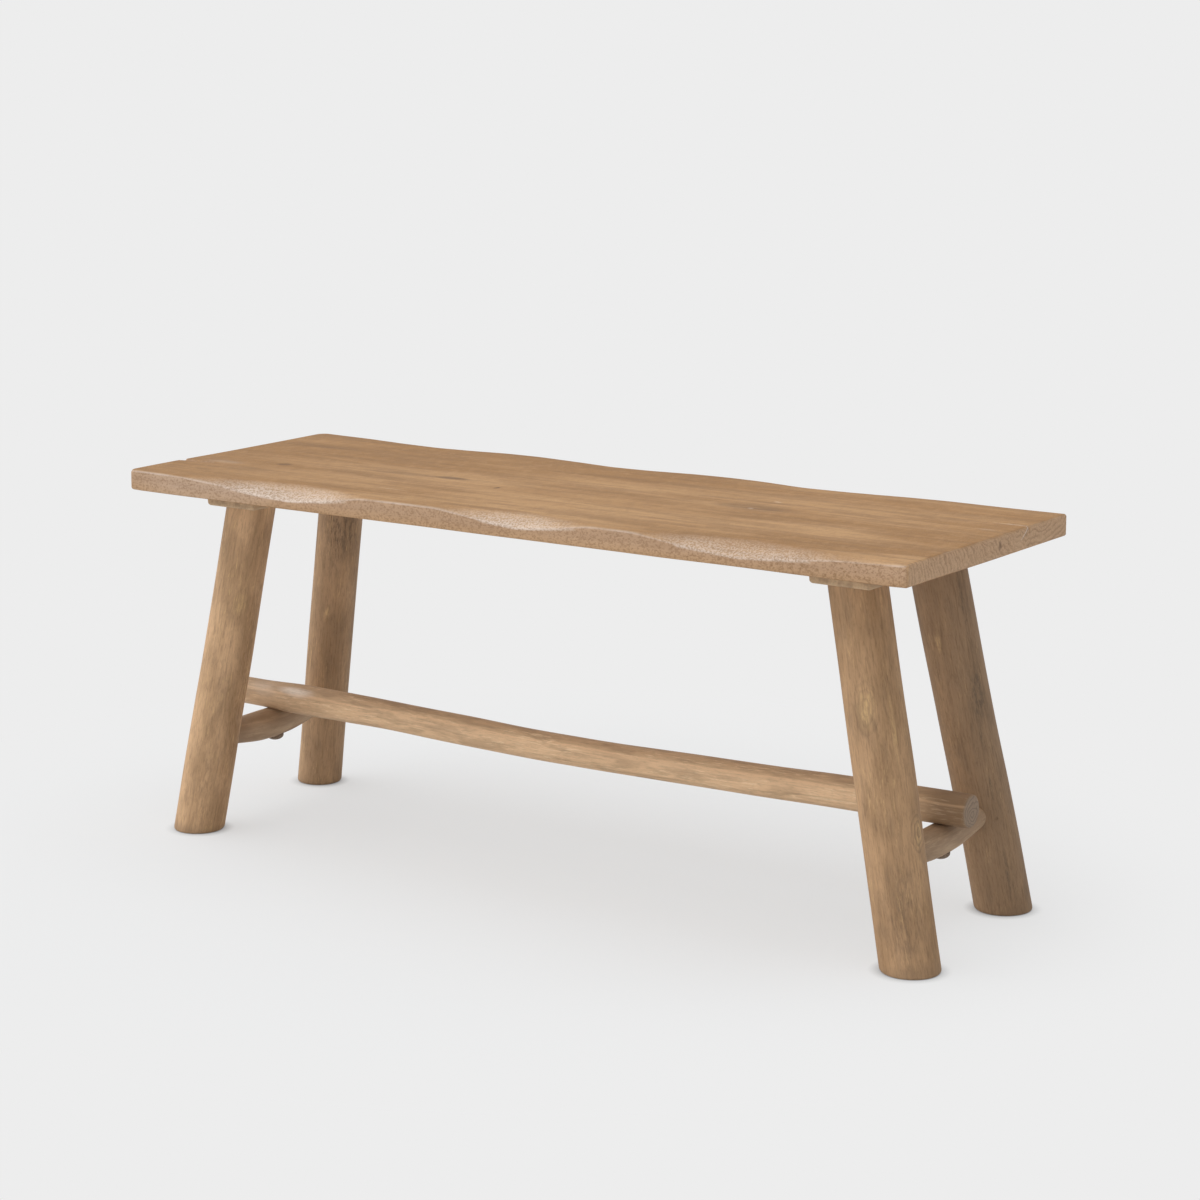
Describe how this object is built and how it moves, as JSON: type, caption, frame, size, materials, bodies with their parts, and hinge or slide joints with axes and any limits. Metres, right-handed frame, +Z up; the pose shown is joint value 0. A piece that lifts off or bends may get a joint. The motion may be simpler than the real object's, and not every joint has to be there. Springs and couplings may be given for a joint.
{
  "type": "wooden bench",
  "caption": "Rustic wooden bench: a plank seat with scooped long edges on splayed round log legs, tied low down by bowed end poles and a long lengthwise pole.",
  "frame": {"origin": "on the floor under the middle of the seat", "axes": "+X along the seat to the right as seen from the front, +Y to the back, +Z up"},
  "size_m": [1.0934, 0.369, 0.457],
  "materials": {
    "seat_wood": "weathered plank, hand-planed, open pores, matt wax",
    "batten_wood": "sawn board, matt brown stain",
    "leg_wood": "peeled log, brown stain, matt wax",
    "pole_wood": "peeled pole, brown stain, matt wax",
    "zinc_screws": "zinc plated",
    "dark_screws": "dark browned steel, satin"
  },
  "bodies": {
    "root": {"seat_plank": "seat_wood", "batten_left": "batten_wood", "batten_right": "batten_wood", "leg_front_left": "leg_wood", "leg_front_right": "leg_wood", "leg_back_left": "leg_wood", "leg_back_right": "leg_wood", "cross_stretcher_left": "pole_wood", "cross_stretcher_right": "pole_wood", "long_stretcher": "pole_wood", "leg_lag_screws": "zinc_screws", "seat_screws": "zinc_screws", "stretcher_screws": "dark_screws"}
  },
  "joints": []
}
